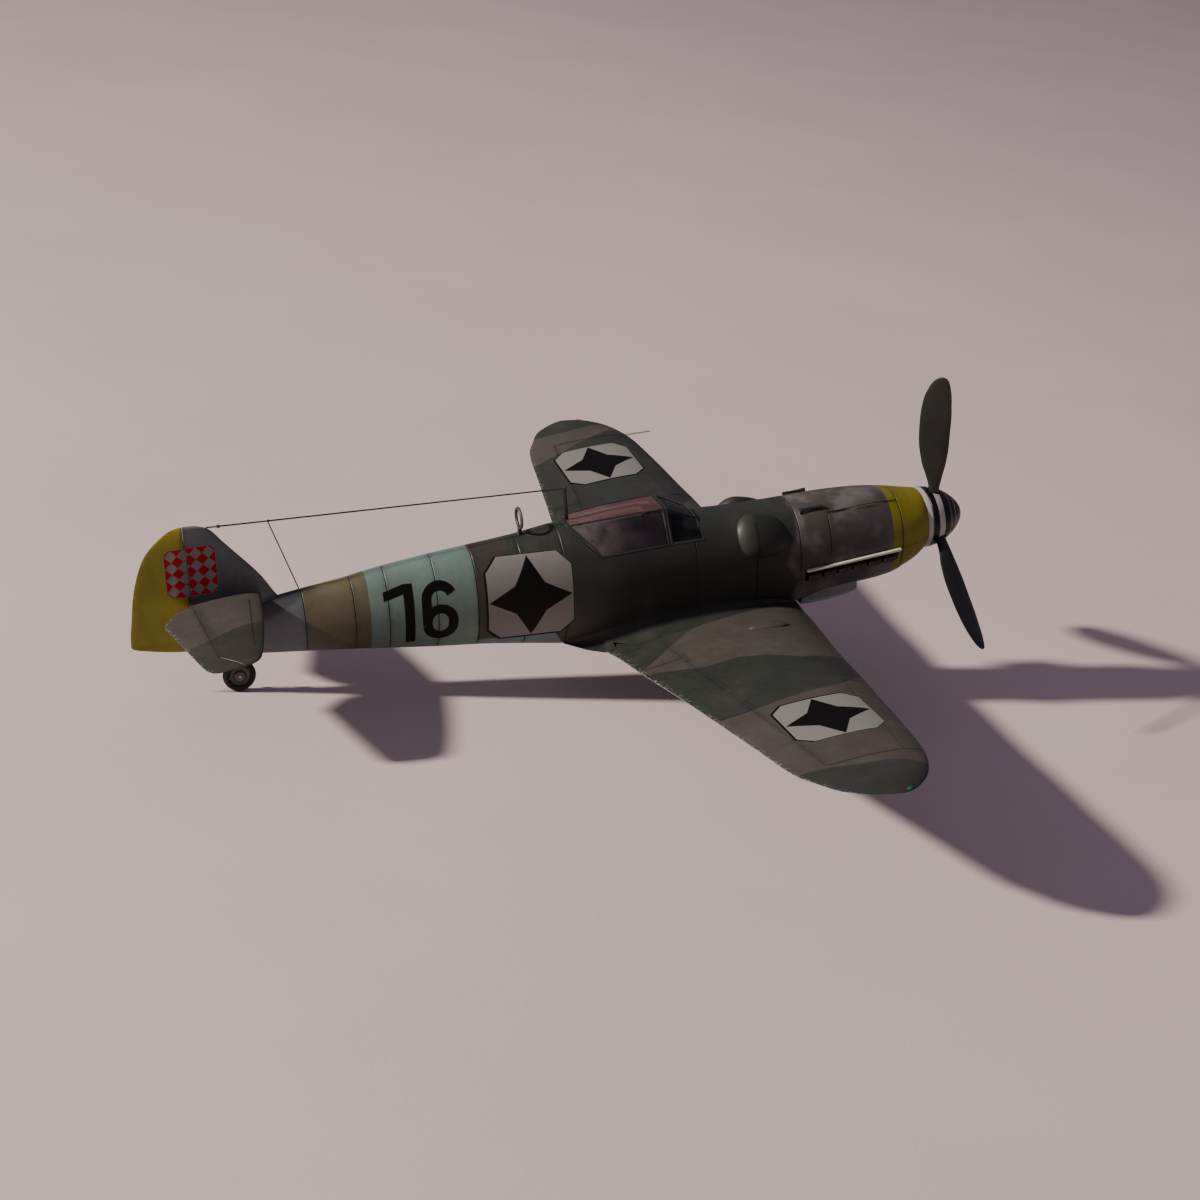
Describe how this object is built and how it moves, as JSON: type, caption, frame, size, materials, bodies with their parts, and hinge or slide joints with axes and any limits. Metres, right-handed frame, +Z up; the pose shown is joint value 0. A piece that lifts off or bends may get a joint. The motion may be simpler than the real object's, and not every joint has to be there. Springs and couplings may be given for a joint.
{
  "type": "propeller plane model",
  "caption": "Static scale model of a low-wing single-engine propeller aeroplane with camouflage paint, closed flat-topped canopy, aerial wire and spinning propeller and wheels.",
  "frame": {"origin": "centre of the bounding box in plan, on the floor under the three wheels", "axes": "+X towards the nose, +Y towards the left wing tip, +Z up; the thrust line is pitched nose up because the model stands on its tail wheel"},
  "size_m": [0.122, 0.1378, 0.0498],
  "materials": {
    "upper_paint": "matt airbrushed grey and green camouflage paint on styrene",
    "under_paint": "matt pale blue-grey paint on styrene",
    "black_paint": "satin black and white paint",
    "dark_plastic": "dark grey styrene",
    "propeller_paint": "black-green matt paint",
    "shaft_plastic": "bare grey styrene",
    "grey_plastic": "grey paint",
    "exhaust_brown": "sooty brown-black paint",
    "cream_paint": "pale cream paint",
    "gun_black": "gun-black paint",
    "radiator_matrix": "dark metallic paint",
    "cockpit_grey": "dark grey interior paint",
    "clear_plastic": "clear styrene with painted frames",
    "wire_dark": "stretched dark sprue",
    "pitot_metal": "pale metallic paint",
    "leg_grey": "grey-green paint",
    "tyre_black": "matt tyre black paint",
    "hub_dark": "dark metallic paint"
  },
  "bodies": {
    "airframe": {"fuselage_right": "upper_paint", "fuselage_left": "upper_paint", "wing_lower": "under_paint", "wing_upper_right": "upper_paint", "wing_upper_left": "upper_paint", "rudder": "upper_paint", "tailplane_right": "upper_paint", "tailplane_left": "upper_paint", "nose_bearing": "grey_plastic", "exhaust_right": "exhaust_brown", "exhaust_shield_right": "cream_paint", "gun_barrel_right": "gun_black", "exhaust_left": "exhaust_brown", "exhaust_shield_left": "cream_paint", "gun_barrel_left": "gun_black", "oil_cooler": "under_paint", "oil_cooler_core": "radiator_matrix", "radiator_right": "under_paint", "radiator_core_right": "radiator_matrix", "radiator_left": "under_paint", "radiator_core_left": "radiator_matrix", "air_intake": "upper_paint", "cockpit_tub": "cockpit_grey", "seat": "cockpit_grey", "instrument_panel": "cockpit_grey", "control_stick": "gun_black", "gun_sight": "gun_black", "head_armour": "cockpit_grey", "rear_bulkhead": "cockpit_grey", "windscreen": "clear_plastic", "hood": "clear_plastic", "antenna_mast": "grey_plastic", "antenna_wire": "wire_dark", "antenna_lead_in": "wire_dark", "df_loop": "gun_black", "pitot_tube": "pitot_metal", "gear_leg_right": "leg_grey", "gear_door_right": "under_paint", "gear_leg_left": "leg_grey", "gear_door_left": "under_paint", "tail_leg": "leg_grey"},
    "propeller_unit": {"spinner": "black_paint", "spinner_backplate": "dark_plastic", "propeller": "propeller_paint", "prop_shaft": "shaft_plastic", "prop_retainer": "dark_plastic"},
    "main_wheel_right": {"tyre_right": "tyre_black", "wheel_hub_right": "hub_dark"},
    "main_wheel_left": {"tyre_left": "tyre_black", "wheel_hub_left": "hub_dark"},
    "tail_wheel": {"tail_tyre": "tyre_black", "tail_hub": "hub_dark"}
  },
  "joints": [
    {"name": "propeller_spin", "type": "hinge", "parent": "airframe", "child": "propeller_unit", "pos_m": [0.05655, 0, 0.02738], "axis": [0.9848, 0, 0.1736], "continuous": true},
    {"name": "main_wheel_right_spin", "type": "hinge", "parent": "airframe", "child": "main_wheel_right", "pos_m": [0.03632, -0.01444, 0.00454], "axis": [0, 1, 0], "continuous": true},
    {"name": "main_wheel_left_spin", "type": "hinge", "parent": "airframe", "child": "main_wheel_left", "pos_m": [0.03632, 0.01444, 0.00454], "axis": [0, 1, 0], "continuous": true},
    {"name": "tail_wheel_spin", "type": "hinge", "parent": "airframe", "child": "tail_wheel", "pos_m": [-0.04551, 0, 0.00232], "axis": [0, 1, 0], "continuous": true}
  ]
}
